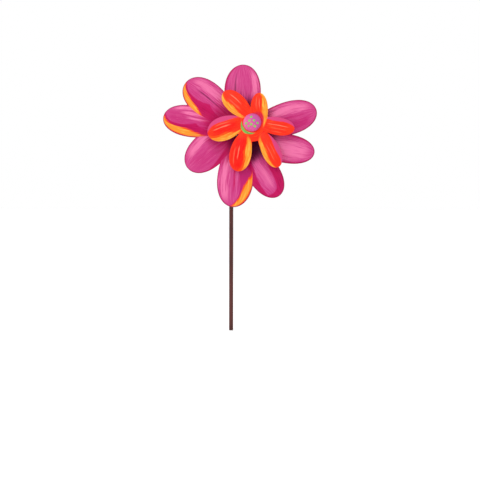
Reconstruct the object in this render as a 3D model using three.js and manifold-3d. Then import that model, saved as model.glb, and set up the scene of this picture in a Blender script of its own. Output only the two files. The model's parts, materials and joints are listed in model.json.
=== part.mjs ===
// Garden wind spinner: a bent steel stake carrying a painted two-layer flower head that turns in the wind.
// Millimetres, +Z up. The origin is the centre of the stake's lower end, and the flower looks along -Y.
import * as THREE from 'three';
import { mergeVertices } from 'three/addons/utils/BufferGeometryUtils.js';
import Module from 'manifold-3d';

const wasm = await Module();
wasm.setup();

// The stake and the place of the head on it
const barRadius = 2.38; // 3/16 inch round bar
const kneeHeight = 176; // where the bar leans aside, hidden behind the flower
const kneeBendRadius = 24;
const elbowBendRadius = 9; // where the bar turns forward into the spindle
const hub = { side: 16.2, forward: 27, height: 226.3 }; // centre of the large flower from the stake's lower end
const headTilt = 12; // degrees that the flower looks up
const spindleTip = 7.6; // end of the spindle in front of the hub centre

// Gap kept between pieces that touch
const gap = 0.3;

// Petals: direction of the middle, distance of the middle from the centre, half the width, and the turn of the
// petal's own axis from that direction
const largeFlower = {
  petals: [
    { at: 88, out: 38.9, halfWidth: 20.6, lean: 7.4 },
    { at: 18.3, out: 48.5, halfWidth: 19, lean: -0.4 },
    { at: -19.1, out: 46.9, halfWidth: 16.3, lean: 10.3 },
    { at: -58.3, out: 43.4, halfWidth: 17.8, lean: 4.8 },
    { at: -93.3, out: 41.9, halfWidth: 20.6, lean: -0.4 },
    { at: -156.9, out: 30, halfWidth: 20.7, lean: 17.2 },
    { at: 165.4, out: 52, halfWidth: 17.7, lean: 3.2 },
    { at: 134.4, out: 48.8, halfWidth: 19.7, lean: 7.5 },
  ],
  petalHalfLength: 43.1,
  petalTaper: 0.282, // how much wider a petal is towards its tip
  core: { x: 0, y: 0, radius: 24 }, // the round middle that the petals grow from
  reach: 98,
  flatRadius: 24.5, // flat seat for the hub and the post
  domeHeight: 5.5,
  rimFall: 6.5,
  sheet: 0.8,
  holeRadius: 4.95,
  spokes: 120,
  rings: [0.14, 0.3, 0.46, 0.62, 0.78, 0.91, 1],
};

const smallFlower = {
  petals: [
    { at: 132, out: 29, halfWidth: 11.3, lean: 6.4 },
    { at: 190.3, out: 31.5, halfWidth: 14.1, lean: 7.2 },
    { at: 250.1, out: 36, halfWidth: 12.8, lean: 11.6 },
    { at: 305.3, out: 37.9, halfWidth: 10.4, lean: -8 },
    { at: 352.6, out: 27, halfWidth: 10.3, lean: -2.4 },
    { at: 60.3, out: 14.8, halfWidth: 10, lean: 34.4 },
  ],
  petalHalfLength: 22.4,
  petalTaper: 0.128,
  core: { x: 0.5, y: -2.5, radius: 19.5 },
  reach: 64,
  flatRadius: 12,
  domeHeight: 3.6,
  rimFall: 3.4,
  sheet: 0.8,
  holeRadius: 2.4,
  spokes: 96,
  rings: [0.2, 0.4, 0.58, 0.76, 0.9, 1],
};

// The post that carries the small flower off centre
const post = { x: 17.1, y: 9.7 };
const smallFlowerLift = 12.4; // back of the small flower in front of the large one's back
const spacerRadius = 4;
const screwRadius = 2;

// The bearing
const spoolTubeRadius = 4.6;
const spoolBoreRadius = 3.5;
const spoolBack = -12;
const spoolFront = 1.6;
const spoolFlangeRadius = 14;
const spoolFlangeThickness = 1.5;
const bushBoreRadius = 2.6;
const bushFlangeRadius = 4.6;
const bushFlangeThickness = 1;
const bushDepth = 4;
const washerRadius = 5;
const axleCapRadius = 4.3;
const washerThickness = 0.7;
const rivetCircle = 10.2;
const rivetShankRadius = 1.35;
const rivetHeadRadius = 2.2;
const rivetHeadHeight = 0.9;

// The button
const buttonRadius = 10.5;
const buttonHeight = 6.6;
const buttonWall = 0.9;

const radians = THREE.MathUtils.degToRad;
const smoothRise = THREE.MathUtils.smoothstep;

// A point's depth in one petal: 1 in the middle, 0 on the rim, below 0 outside
function petalDepth(flower, petal, x, y) {
  const at = radians(petal.at);
  const axis = radians(petal.at + petal.lean);
  const fromMiddleX = x - petal.out * Math.cos(at);
  const fromMiddleY = y - petal.out * Math.sin(at);
  const along = (fromMiddleX * Math.cos(axis) + fromMiddleY * Math.sin(axis)) / flower.petalHalfLength;
  const across = fromMiddleY * Math.cos(axis) - fromMiddleX * Math.sin(axis);
  const halfWidth = petal.halfWidth * (1 + flower.petalTaper * THREE.MathUtils.clamp(along, -1, 1));
  return 1 - along ** 2 - (across / halfWidth) ** 2;
}

function flowerDepth(flower, x, y) {
  return Math.max(...flower.petals.map((petal) => petalDepth(flower, petal, x, y)));
}

// How far the round middle reaches from the flower's centre in one direction
function coreRadius({ core }, angle) {
  const along = core.x * Math.cos(angle) + core.y * Math.sin(angle);
  const aside = core.y * Math.cos(angle) - core.x * Math.sin(angle);
  return along + Math.sqrt(core.radius ** 2 - aside ** 2);
}

// The rim's distance from the centre in one direction
function rimRadius(flower, angle) {
  const step = 0.5;
  const depthAt = (radius) => flowerDepth(flower, radius * Math.cos(angle), radius * Math.sin(angle));
  const least = coreRadius(flower, angle);
  let inside = flower.reach;
  while (inside > least && depthAt(inside) < 0) {
    inside -= step;
  }
  if (inside <= least) {
    return least;
  }
  let outside = inside + step;
  for (let halving = 0; halving < 12; halving += 1) {
    const middle = (inside + outside) / 2;
    if (depthAt(middle) < 0) {
      outside = middle;
    } else {
      inside = middle;
    }
  }
  return inside;
}

// Points on the rim, as far apart along the steep sides of the petals as round their tips
function rimPoints(flower) {
  const fineCount = 1440;
  const fine = [];
  for (let i = 0; i <= fineCount; i += 1) {
    const angle = (i / fineCount) * 2 * Math.PI;
    const radius = rimRadius(flower, angle);
    fine.push(new THREE.Vector2(radius * Math.cos(angle), radius * Math.sin(angle)));
  }
  const lengths = [0];
  for (let i = 1; i <= fineCount; i += 1) {
    lengths.push(lengths[i - 1] + fine[i].distanceTo(fine[i - 1]));
  }
  const points = [];
  let i = 1;
  for (let spoke = 0; spoke < flower.spokes; spoke += 1) {
    const wanted = (spoke / flower.spokes) * lengths[fineCount];
    while (lengths[i] < wanted) {
      i += 1;
    }
    const share = (wanted - lengths[i - 1]) / (lengths[i] - lengths[i - 1]);
    points.push(fine[i - 1].clone().lerp(fine[i], share));
  }
  return points;
}

// Height of the pressed sheet: flat at the core, each petal domed, and the whole falling back to the tips
function pressedHeight(flower, x, y) {
  const radius = Math.hypot(x, y);
  const dome = flower.domeHeight * Math.max(0, flowerDepth(flower, x, y));
  const fall = (flower.rimFall * Math.max(0, radius - flower.flatRadius)) / (flower.reach - flower.flatRadius);
  return dome * smoothRise(radius, flower.flatRadius, 1.7 * flower.flatRadius) - fall;
}

// The pressed sheet as a closed shell with a round hole in its centre
function pressedSheet(flower) {
  const rim = rimPoints(flower);
  const rings = [0, ...flower.rings];
  const positions = [];
  for (const lift of [0, flower.sheet]) {
    for (const ring of rings) {
      for (const point of rim) {
        const radius = flower.holeRadius + (point.length() - flower.holeRadius) * ring;
        const place = point.clone().setLength(radius);
        positions.push(place.x, place.y, pressedHeight(flower, place.x, place.y) + lift);
      }
    }
  }
  const sideSize = rings.length * rim.length;
  const last = rings.length - 1;
  const indices = [];
  const quad = (a, b, c, d) => indices.push(a, b, c, a, c, d);
  for (let spoke = 0; spoke < rim.length; spoke += 1) {
    const next = (spoke + 1) % rim.length;
    const back = (ring, at) => ring * rim.length + at;
    const front = (ring, at) => sideSize + back(ring, at);
    for (let ring = 0; ring < last; ring += 1) {
      quad(front(ring, spoke), front(ring + 1, spoke), front(ring + 1, next), front(ring, next));
      quad(back(ring, next), back(ring + 1, next), back(ring + 1, spoke), back(ring, spoke));
    }
    quad(back(last, spoke), back(last, next), front(last, next), front(last, spoke));
    quad(back(0, next), back(0, spoke), front(0, spoke), front(0, next));
  }
  const geometry = new THREE.BufferGeometry();
  geometry.setAttribute('position', new THREE.Float32BufferAttribute(positions, 3));
  geometry.setIndex(indices);
  return geometry;
}

function toSolid(geometry) {
  geometry.deleteAttribute('normal');
  geometry.deleteAttribute('uv');
  const merged = mergeVertices(geometry);
  const vertProperties = new Float32Array(merged.attributes.position.array);
  const triVerts = new Uint32Array(merged.index.array);
  return new wasm.Manifold(new wasm.Mesh({ numProp: 3, vertProperties, triVerts }));
}

function toGeometry(solid) {
  const mesh = solid.getMesh();
  const geometry = new THREE.BufferGeometry();
  geometry.setAttribute('position', new THREE.BufferAttribute(mesh.vertProperties, 3));
  geometry.setIndex(new THREE.BufferAttribute(mesh.triVerts, 1));
  return geometry;
}

// A straight pin through the sheet, to cut a round hole with
function drill(x, y, radius) {
  const geometry = new THREE.CylinderGeometry(radius, radius, 20, 20);
  geometry.rotateX(Math.PI / 2);
  geometry.translate(x, y, 0);
  return toSolid(geometry);
}

// A turned piece: the profile holds [radius, height] pairs, and its axis becomes the local Z
function turned(profile, segments = 20) {
  const points = profile.map(([radius, height]) => new THREE.Vector2(radius, height));
  const geometry = new THREE.LatheGeometry(points, segments);
  geometry.rotateX(Math.PI / 2);
  return geometry;
}

function ring(innerRadius, outerRadius, low, high) {
  const profile = [
    [innerRadius, low],
    [outerRadius, low],
    [outerRadius, high],
    [innerRadius, high],
    [innerRadius, low],
  ];
  return turned(profile);
}

// The centre line of a bent bar: straight runs joined by round bends, with stations only at and in the bends
class BentBarLine extends THREE.Curve {
  constructor(corners, bendRadii, stationsPerBend) {
    super();
    this.stations = [{ point: corners[0], tangent: corners[1].clone().sub(corners[0]).normalize() }];
    bendRadii.forEach((bendRadius, i) => {
      this.addBend(corners[i], corners[i + 1], corners[i + 2], bendRadius, stationsPerBend);
    });
    const end = corners.at(-1);
    this.stations.push({ point: end, tangent: end.clone().sub(corners.at(-2)).normalize() });
  }

  addBend(before, corner, after, bendRadius, count) {
    const into = corner.clone().sub(before).normalize();
    const away = after.clone().sub(corner).normalize();
    const turn = into.angleTo(away);
    const start = corner.clone().addScaledVector(into, -bendRadius * Math.tan(turn / 2));
    const inward = away.clone().addScaledVector(into, -into.dot(away)).normalize();
    const centre = start.clone().addScaledVector(inward, bendRadius);
    for (let i = 0; i <= count; i += 1) {
      const angle = (turn * i) / count;
      const point = centre
        .clone()
        .addScaledVector(inward, -bendRadius * Math.cos(angle))
        .addScaledVector(into, bendRadius * Math.sin(angle));
      const tangent = into.clone().multiplyScalar(Math.cos(angle)).addScaledVector(inward, Math.sin(angle));
      this.stations.push({ point, tangent });
    }
  }

  stationAt(share) {
    return this.stations[Math.round(share * (this.stations.length - 1))];
  }

  getPointAt(share) {
    return this.stationAt(share).point.clone();
  }

  getTangentAt(share) {
    return this.stationAt(share).tangent.clone();
  }
}

const forward = new THREE.Vector3(0, -Math.cos(radians(headTilt)), Math.sin(radians(headTilt)));
const hubCentre = new THREE.Vector3(hub.side, -hub.forward, hub.height);

function makeStakeRod() {
  const foot = new THREE.Vector3(0, 0, 0);
  const knee = new THREE.Vector3(0, 0, kneeHeight);
  const elbow = hubCentre.clone().addScaledVector(forward, -hub.forward / Math.cos(radians(headTilt)));
  const tip = hubCentre.clone().addScaledVector(forward, spindleTip);
  const line = new BentBarLine([foot, knee, elbow, tip], [kneeBendRadius, elbowBendRadius], 7);
  const section = new THREE.Shape().absarc(0, 0, barRadius, 0, 2 * Math.PI);
  const options = { extrudePath: line, steps: line.stations.length - 1, curveSegments: 9 };
  return new THREE.ExtrudeGeometry(section, options);
}

// The bearing spool: a tube through the large flower with a flange that the rivets hold
function makeHubSpool() {
  const flangeFront = -gap;
  const flangeBack = flangeFront - spoolFlangeThickness;
  const profile = [
    [spoolBoreRadius, spoolBack],
    [spoolTubeRadius, spoolBack],
    [spoolTubeRadius, flangeBack - 1],
    [spoolTubeRadius + 1, flangeBack],
    [spoolFlangeRadius, flangeBack],
    [spoolFlangeRadius, flangeFront],
    [spoolTubeRadius, flangeFront],
    [spoolTubeRadius, spoolFront],
    [spoolBoreRadius, spoolFront],
    [spoolBoreRadius, spoolBack],
  ];
  let solid = toSolid(turned(profile, 32));
  for (const [x, y] of rivetPlaces()) {
    solid = solid.subtract(drill(x, y, rivetShankRadius + gap));
  }
  return toGeometry(solid);
}

function rivetPlaces() {
  return [0, 1, 2].map((i) => {
    const angle = radians(30 + 120 * i);
    return [rivetCircle * Math.cos(angle), rivetCircle * Math.sin(angle)];
  });
}

// A round-headed rivet through the large flower and the spool's flange
function makeRivet() {
  const front = largeFlower.sheet + gap;
  const back = -2 * gap - spoolFlangeThickness;
  const profile = [
    [0, back - rivetHeadHeight],
    [0.65 * rivetHeadRadius, back - 0.75 * rivetHeadHeight],
    [rivetHeadRadius, back],
    [rivetShankRadius, back],
    [rivetShankRadius, front],
    [rivetHeadRadius, front],
    [0.65 * rivetHeadRadius, front + 0.75 * rivetHeadHeight],
    [0, front + rivetHeadHeight],
  ];
  return turned(profile, 16);
}

// A flanged bush for the front end of the bore: its flange is at the front
function makeBush() {
  const sleeveRadius = spoolBoreRadius - gap;
  const flangeBack = spoolFront + gap;
  const flangeFront = flangeBack + bushFlangeThickness;
  const profile = [
    [bushBoreRadius, flangeBack - bushDepth],
    [sleeveRadius, flangeBack - bushDepth],
    [sleeveRadius, flangeBack],
    [bushFlangeRadius, flangeBack],
    [bushFlangeRadius, flangeFront],
    [bushBoreRadius, flangeFront],
    [bushBoreRadius, flangeBack - bushDepth],
  ];
  return turned(profile);
}

// A dished spring-steel ring pushed onto the plain spindle behind the bearing
function makePushRing(front) {
  const innerRadius = barRadius + gap;
  const profile = [
    [innerRadius, front - 2.2],
    [washerRadius + 0.6, front - 1],
    [washerRadius + 0.6, front],
    [innerRadius, front - 1.2],
    [innerRadius, front - 2.2],
  ];
  return turned(profile);
}

// A pressed cap pushed onto the spindle's front end, closed at the front
function makeAxleCap(back) {
  const innerRadius = barRadius + gap;
  const profile = [
    [innerRadius, back],
    [axleCapRadius, back],
    [axleCapRadius, back + 0.8],
    [innerRadius + 1, back + 1.2],
    [innerRadius + 0.9, back + 3.2],
    [innerRadius, back + 4.4],
    [0, back + 5],
    [0, spindleTip + gap],
    [innerRadius, spindleTip + gap],
    [innerRadius, back],
  ];
  return turned(profile);
}

function makeHexNut(acrossFlats, height, boreRadius) {
  const shape = new THREE.Shape();
  const cornerRadius = acrossFlats / Math.sqrt(3);
  for (let corner = 0; corner < 6; corner += 1) {
    const angle = radians(60 * corner);
    const x = cornerRadius * Math.cos(angle);
    const y = cornerRadius * Math.sin(angle);
    if (corner === 0) {
      shape.moveTo(x, y);
    } else {
      shape.lineTo(x, y);
    }
  }
  shape.closePath();
  shape.holes.push(new THREE.Path().absarc(0, 0, boreRadius, 0, 2 * Math.PI, true));
  return new THREE.ExtrudeGeometry(shape, { depth: height, bevelEnabled: false, curveSegments: 12 });
}

// The screw through both flowers, its round head under the button
function makePostScrew(headBack, tail) {
  const headRadius = 3.7;
  const headHeight = 2.4;
  const profile = [
    [0, tail],
    [screwRadius, tail],
    [screwRadius, headBack],
    [headRadius, headBack],
    [headRadius, headBack + 0.6 * headHeight],
    [0.6 * headRadius, headBack + headHeight],
    [0, headBack + headHeight],
  ];
  return turned(profile, 20);
}

// The domed button: a thin shell with a collar inside that grips the screw's head
function makeButton(back) {
  const collarInner = 4;
  const collarOuter = 5;
  const collarFront = 3.4;
  const arcSteps = 7;
  const profile = [[buttonRadius - buttonWall, back]];
  for (let i = 0; i <= arcSteps; i += 1) {
    const angle = (Math.PI / 2) * (i / arcSteps);
    profile.push([buttonRadius * Math.cos(angle), back + buttonHeight * Math.sin(angle)]);
  }
  profile.at(-1)[0] = 0;
  const insideRadius = buttonRadius - buttonWall;
  const insideHeight = buttonHeight - buttonWall;
  const insideHeightAt = (radius) => back + insideHeight * Math.sqrt(1 - (radius / insideRadius) ** 2);
  profile.push([0, back + collarFront]);
  profile.push([collarInner, back + collarFront]);
  profile.push([collarInner, back + 0.6]);
  profile.push([collarOuter, back + 0.6]);
  profile.push([collarOuter, insideHeightAt(collarOuter)]);
  profile.push([7.2, insideHeightAt(7.2)]);
  profile.push([8.8, insideHeightAt(8.8)]);
  profile.push([insideRadius, back]);
  return turned(profile, 32);
}

function makeLargeFlower() {
  let solid = toSolid(pressedSheet(largeFlower));
  for (const [x, y] of rivetPlaces()) {
    solid = solid.subtract(drill(x, y, rivetShankRadius + gap));
  }
  solid = solid.subtract(drill(post.x, post.y, screwRadius + gap));
  return toGeometry(solid);
}

// Adds one named piece, in a finish of its own
function addPiece(group, name, geometry, [color, roughness, metalness], z = 0) {
  const mesh = new THREE.Mesh(geometry, new THREE.MeshStandardMaterial({ color, roughness, metalness }));
  mesh.name = name;
  mesh.position.z = z;
  group.add(mesh);
  return mesh;
}

const stakeBrown = ['#5e352c', 0.5, 0.3];
const petalPink = ['#c54a8c', 0.38, 0.2];
const petalOrange = ['#f5451f', 0.38, 0.2];
const buttonPink = ['#d9609f', 0.35, 0.2];
const zincPlate = ['#b9babb', 0.35, 0.9];
const blackOxide = ['#2b2629', 0.45, 0.7];
const whiteNylon = ['#ece9df', 0.5, 0];

const spinner = new THREE.Group();
addPiece(spinner, 'stake_rod', makeStakeRod(), stakeBrown);

// Everything on the spindle is built in the head's own frame: local Z forward along the spindle, local Y up
const head = new THREE.Group();
head.position.copy(hubCentre);
head.rotation.x = radians(90 - headTilt);
spinner.add(head);

const rearBushBack = spoolBack - gap - bushFlangeThickness;
const rearWasherBack = rearBushBack - gap - washerThickness;
const frontWasherBack = spoolFront + 2 * gap + bushFlangeThickness;
const axleCapBack = frontWasherBack + washerThickness + gap;
addPiece(head, 'rear_push_ring', makePushRing(rearWasherBack - gap), blackOxide);
addPiece(head, 'rear_washer', ring(barRadius + gap, washerRadius, 0, washerThickness), zincPlate, rearWasherBack);
addPiece(head, 'front_washer', ring(barRadius + gap, washerRadius, 0, washerThickness), zincPlate, frontWasherBack);
addPiece(head, 'axle_cap', makeAxleCap(axleCapBack), blackOxide);

addPiece(head, 'hub_spool', makeHubSpool(), zincPlate);
addPiece(head, 'front_bush', makeBush(), whiteNylon);
const rearBush = addPiece(head, 'rear_bush', makeBush(), whiteNylon);
rearBush.rotation.x = Math.PI;
rearBush.position.z = spoolFront + spoolBack;
addPiece(head, 'large_flower', makeLargeFlower(), petalPink);
rivetPlaces().forEach(([x, y], i) => {
  const rivet = addPiece(head, `hub_rivet_${i + 1}`, makeRivet(), zincPlate);
  rivet.position.set(x, y, 0);
});

// The post, with the small flower and the button on it
const postLine = new THREE.Group();
postLine.position.set(post.x, post.y, 0);
head.add(postLine);

const lockWasherThickness = 0.8;
const spacerBack = largeFlower.sheet + gap;
const frontLockWasherBack = smallFlowerLift - gap - lockWasherThickness;
const spacerLength = frontLockWasherBack - gap - spacerBack;
const smallFlowerFront = smallFlowerLift + smallFlower.sheet;
const rearLockWasherBack = -gap - lockWasherThickness;
const nutHeight = 3;
const nutBack = rearLockWasherBack - gap - nutHeight;
const threadPastNut = 1;
const screwHole = screwRadius + gap;
addPiece(postLine, 'post_nut', makeHexNut(7, nutHeight, screwHole), zincPlate, nutBack);
addPiece(postLine, 'rear_lock_washer', ring(screwHole, 3.9, 0, lockWasherThickness), zincPlate, rearLockWasherBack);
addPiece(postLine, 'post_spacer', ring(screwHole, spacerRadius, 0, spacerLength), zincPlate, spacerBack);
addPiece(postLine, 'front_lock_washer', ring(screwHole, 3.9, 0, lockWasherThickness), zincPlate, frontLockWasherBack);
addPiece(postLine, 'small_flower', pressedSheet(smallFlower), petalOrange, smallFlowerLift);
addPiece(postLine, 'post_screw', makePostScrew(smallFlowerFront + gap, nutBack - threadPastNut), zincPlate);
addPiece(postLine, 'button', makeButton(smallFlowerFront + gap), buttonPink);

export default spinner;
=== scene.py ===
import json
from math import cos, pi, radians, sin, sqrt, tan, tanh
from types import SimpleNamespace

import bmesh
import bpy
import numpy as np
from mathutils import Matrix, Quaternion, Vector


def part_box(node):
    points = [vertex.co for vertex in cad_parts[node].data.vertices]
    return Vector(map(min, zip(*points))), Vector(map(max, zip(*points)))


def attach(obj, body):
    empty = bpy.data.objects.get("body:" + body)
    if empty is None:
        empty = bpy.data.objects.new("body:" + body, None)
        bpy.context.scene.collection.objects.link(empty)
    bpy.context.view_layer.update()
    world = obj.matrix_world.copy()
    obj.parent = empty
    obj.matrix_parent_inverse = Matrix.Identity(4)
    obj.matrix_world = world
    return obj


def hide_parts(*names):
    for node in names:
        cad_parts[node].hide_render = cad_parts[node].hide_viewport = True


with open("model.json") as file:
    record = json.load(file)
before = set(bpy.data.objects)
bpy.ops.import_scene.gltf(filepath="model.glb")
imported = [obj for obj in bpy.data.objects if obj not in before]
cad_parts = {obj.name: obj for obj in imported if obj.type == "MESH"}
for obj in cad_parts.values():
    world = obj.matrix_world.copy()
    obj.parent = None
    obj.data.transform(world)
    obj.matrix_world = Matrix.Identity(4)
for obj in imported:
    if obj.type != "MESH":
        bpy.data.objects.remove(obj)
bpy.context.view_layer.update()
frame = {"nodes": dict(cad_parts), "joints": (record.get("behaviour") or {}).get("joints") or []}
print("frame loaded:", len(frame["nodes"]), "nodes")

mm = 0.001
scene = bpy.context.scene

# the head's own frame: +Z forward along the spindle, +Y up, origin at the large flower's centre
spin = frame["joints"][0]
hubCentre = Vector(spin["pos_m"])
forward = Vector(spin["axis"]).normalized()
sideways = Vector((1, 0, 0))
upward = forward.cross(sideways)
headTurn = Matrix((sideways, upward, forward)).transposed().to_4x4()
headFrame = Matrix.Translation(hubCentre) @ headTurn
headAxes = (sideways, upward, forward)


class Wire:
    # one socket of a finish; sums and products of wires add Math nodes
    def __init__(self, tree, socket=None):
        self.tree = tree
        self.socket = socket

    def node(self, kind, settings=None, sockets=None, output=0):
        made = self.tree.nodes.new("ShaderNode" + kind)
        for name, value in (settings or {}).items():
            setattr(made, name, value)
        for name, value in (sockets or {}).items():
            if isinstance(value, Wire):
                self.tree.links.new(value.socket, made.inputs[name])
            else:
                made.inputs[name].default_value = value
        return Wire(self.tree, made.outputs[output] if made.outputs else None)

    def maths(self, operation, *values):
        return self.node("Math", {"operation": operation}, dict(enumerate(values)))

    def __add__(self, other):
        return self.maths("ADD", self, other)

    def __radd__(self, other):
        return self.maths("ADD", other, self)

    def __sub__(self, other):
        return self.maths("SUBTRACT", self, other)

    def __rsub__(self, other):
        return self.maths("SUBTRACT", other, self)

    def __mul__(self, other):
        return self.maths("MULTIPLY", self, other)

    def __rmul__(self, other):
        return self.maths("MULTIPLY", other, self)

    def __truediv__(self, other):
        return self.maths("DIVIDE", self, other)

    def __rtruediv__(self, other):
        return self.maths("DIVIDE", other, self)

    def __abs__(self):
        return self.maths("ABSOLUTE", self)

    def root(self):
        return self.maths("SQRT", self)

    def atLeast(self, other):
        return self.maths("MAXIMUM", self, other)

    def atMost(self, other):
        return self.maths("MINIMUM", self, other)

    def rise(self, low, high):  # 0 up to low, 1 from high, smooth between; the other way round it falls
        return self.node("MapRange", {"interpolation_type": "SMOOTHSTEP"},
                         {"Value": self, "From Min": low, "From Max": high})

    def noise(self, vector, scale, detail=2.0, roughness=0.5):
        return self.node("TexNoise", None,
                         {"Vector": vector, "Scale": scale, "Detail": detail, "Roughness": roughness})

    def vector(self, x, y, z):
        return self.node("CombineXYZ", None, {"X": x, "Y": y, "Z": z})

    def paint(self, below, color, mask):  # color over below where mask is 1; Mix's colour sockets go by number
        return self.node("Mix", {"data_type": "RGBA"}, {0: mask, 6: below, 7: color}, 2)


paintStrength = 0.9  # paint gives back a little less light than the brightest screen colour


def tint(red, green, blue):  # a screen colour as the light a finish gives back
    channels = [value / 255 for value in (red, green, blue)]
    linear = [c / 12.92 if c <= 0.04045 else ((c + 0.055) / 1.055) ** 2.4 for c in channels]
    return (*[paintStrength * c for c in linear], 1.0)


def startFinish(name):
    material = bpy.data.materials.new(name)
    material.use_nodes = True
    tree = material.node_tree
    tree.nodes.clear()
    return material, Wire(tree)


def endFinish(wire, color, roughness, height=None, bump=0.1, bumpDistance=0.1 * mm, metallic=0.0, specular=0.5):
    sockets = {"Base Color": color, "Roughness": roughness, "Metallic": metallic, "Specular IOR Level": specular}
    if height is not None:
        sockets["Normal"] = wire.node("Bump", None, {"Strength": bump, "Distance": bumpDistance, "Height": height})
    shader = wire.node("BsdfPrincipled", None, sockets)
    wire.node("OutputMaterial", None, {"Surface": shader})


def placeInMm(wire):  # where a point is from the piece's own origin, in millimetres
    coordinates = wire.node("TexCoord", output="Object")
    return wire.node("VectorMath", {"operation": "SCALE"}, {0: coordinates, "Scale": 1 / mm})


def alongAxes(place, axes):  # a place as its lengths along three axes
    return [place.node("VectorMath", {"operation": "DOT_PRODUCT"}, {0: place, 1: axis}, "Value") for axis in axes]


# each petal: direction of its middle, distance of that from the centre, half its width, and the turn of its own
# axis from that direction, in degrees and millimetres, all as in the CAD part
largeFlower = {
    "petals": {
        "top": (88, 38.9, 20.6, 7.4),
        "upperRight": (18.3, 48.5, 19, -0.4),
        "right": (-19.1, 46.9, 16.3, 10.3),
        "lowerRight": (-58.3, 43.4, 17.8, 4.8),
        "bottom": (-93.3, 41.9, 20.6, -0.4),
        "lowerLeft": (-156.9, 30, 20.7, 17.2),
        "left": (165.4, 52, 17.7, 3.2),
        "upperLeft": (134.4, 48.8, 19.7, 7.5),
    },
    "halfLength": 43.1,  # of every petal
    "taper": 0.282,  # how much wider a petal gets towards its tip
    "core": (0, 0, 24),  # middle and radius of the round part that joins the petals
    "reach": 98,  # no petal ends further out
    "flatRadius": 24.5,
    "domeHeight": 5.5,
    "rimFall": 6.5,  # how far the tips lie behind the flat middle
    "sheet": 0.8,
    "holeRadius": 4.95,
    "spokes": 640,  # points of the fine mesh round the rim
    "rings": 46,  # and its rings between hole and rim
}
smallFlower = {
    "petals": {
        "upperLeft": (132, 29, 11.3, 6.4),
        "left": (190.3, 31.5, 14.1, 7.2),
        "bottom": (250.1, 36, 12.8, 11.6),
        "lowerRight": (305.3, 37.9, 10.4, -8),
        "right": (352.6, 27, 10.3, -2.4),
        "top": (60.3, 14.8, 10, 34.4),
    },
    "halfLength": 22.4,
    "taper": 0.128,
    "core": (0.5, -2.5, 19.5),
    "reach": 64,
    "flatRadius": 12,
    "domeHeight": 3.6,
    "rimFall": 3.4,
    "sheet": 0.8,
    "holeRadius": 2.4,
    "spokes": 480,
    "rings": 34,
}


def onPetal(flower, petal, x, y):  # for arrays and wires: along the petal, its tip at 1, and across it in mm
    direction, out, halfWidth, lean = petal
    at, axis = radians(direction), radians(direction + lean)
    fromX = x - out * cos(at)
    fromY = y - out * sin(at)
    along = (fromX * cos(axis) + fromY * sin(axis)) / flower["halfLength"]
    return along, fromY * cos(axis) - fromX * sin(axis), halfWidth


def petalDepths(flower, x, y):  # for each petal 1 in its middle, 0 on its rim and less outside
    depths = []
    for petal in flower["petals"].values():
        along, across, middleWidth = onPetal(flower, petal, x, y)
        halfWidth = middleWidth * (1 + flower["taper"] * np.clip(along, -1, 1))
        depths.append(1 - along ** 2 - (across / halfWidth) ** 2)
    return np.array(depths)


def rimPoints(flower):  # evenly spaced along the rim's own length
    step, innermost = 0.25, 5
    angles = np.linspace(0, 2 * pi, 8 * 360 + 1)
    radii = np.arange(flower["reach"], innermost, -step)
    depth = petalDepths(flower, np.outer(np.cos(angles), radii), np.outer(np.sin(angles), radii)).max(0)
    first = np.argmax(depth > 0, axis=1)
    rows = np.arange(len(angles))
    inside, outside = depth[rows, first], depth[rows, np.maximum(first - 1, 0)]
    reach = radii[first] + step * inside / (inside - outside + 1e-9)  # 1e-9 keeps it finite inside the core
    coreX, coreY, coreRadius = flower["core"]
    along = coreX * np.cos(angles) + coreY * np.sin(angles)
    aside = coreY * np.cos(angles) - coreX * np.sin(angles)
    coreReach = along + np.sqrt(coreRadius ** 2 - aside ** 2)
    reach = np.maximum(np.where(depth[rows, first] > 0, reach, 0), coreReach)
    x, y = reach * np.cos(angles), reach * np.sin(angles)
    length = np.concatenate([[0], np.cumsum(np.hypot(np.diff(x), np.diff(y)))])
    wanted = np.linspace(0, length[-1], flower["spokes"], endpoint=False)
    return np.interp(wanted, length, x), np.interp(wanted, length, y)


def pressedHeight(flower, x, y):  # flat at the core, each petal domed, and all of it falling back to the tips
    crease = 16  # higher is a sharper crease between two petals
    blend = 0.7  # the domes rise over this share of the flat middle's radius
    depths = petalDepths(flower, x, y)
    highest = depths.max(0)
    soft = highest + np.log(np.exp(crease * (depths - highest)).sum(0)) / crease
    radius = np.hypot(x, y)
    flat = flower["flatRadius"]
    share = np.clip((radius - flat) / (blend * flat), 0, 1)
    rise = share * share * (3 - 2 * share)
    fall = flower["rimFall"] * np.maximum(0, radius - flat) / (flower["reach"] - flat)
    return flower["domeHeight"] * np.maximum(0, soft) * rise - fall


def meshPiece(name, vertices, faces, finishes, faceFinish=None):
    mesh = bpy.data.meshes.new(name)
    mesh.from_pydata([tuple(v) for v in vertices], [], faces)
    for finish in finishes:
        mesh.materials.append(finish)
    if faceFinish is not None:
        mesh.polygons.foreach_set("material_index", faceFinish)
    mesh.polygons.foreach_set("use_smooth", [True] * len(mesh.polygons))
    mesh.update()
    piece = bpy.data.objects.new(name, mesh)
    scene.collection.objects.link(piece)
    return piece


def closedGrid(loops, spokes):  # faces between rings of vertices that close on the first ring
    faces = []
    for loop in range(loops):
        after = (loop + 1) % loops
        for spoke in range(spokes):
            then = (spoke + 1) % spokes
            corners = ((loop, spoke), (after, spoke), (after, then), (loop, then))
            faces.append(tuple(ring * spokes + place for ring, place in corners))
    return faces


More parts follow.
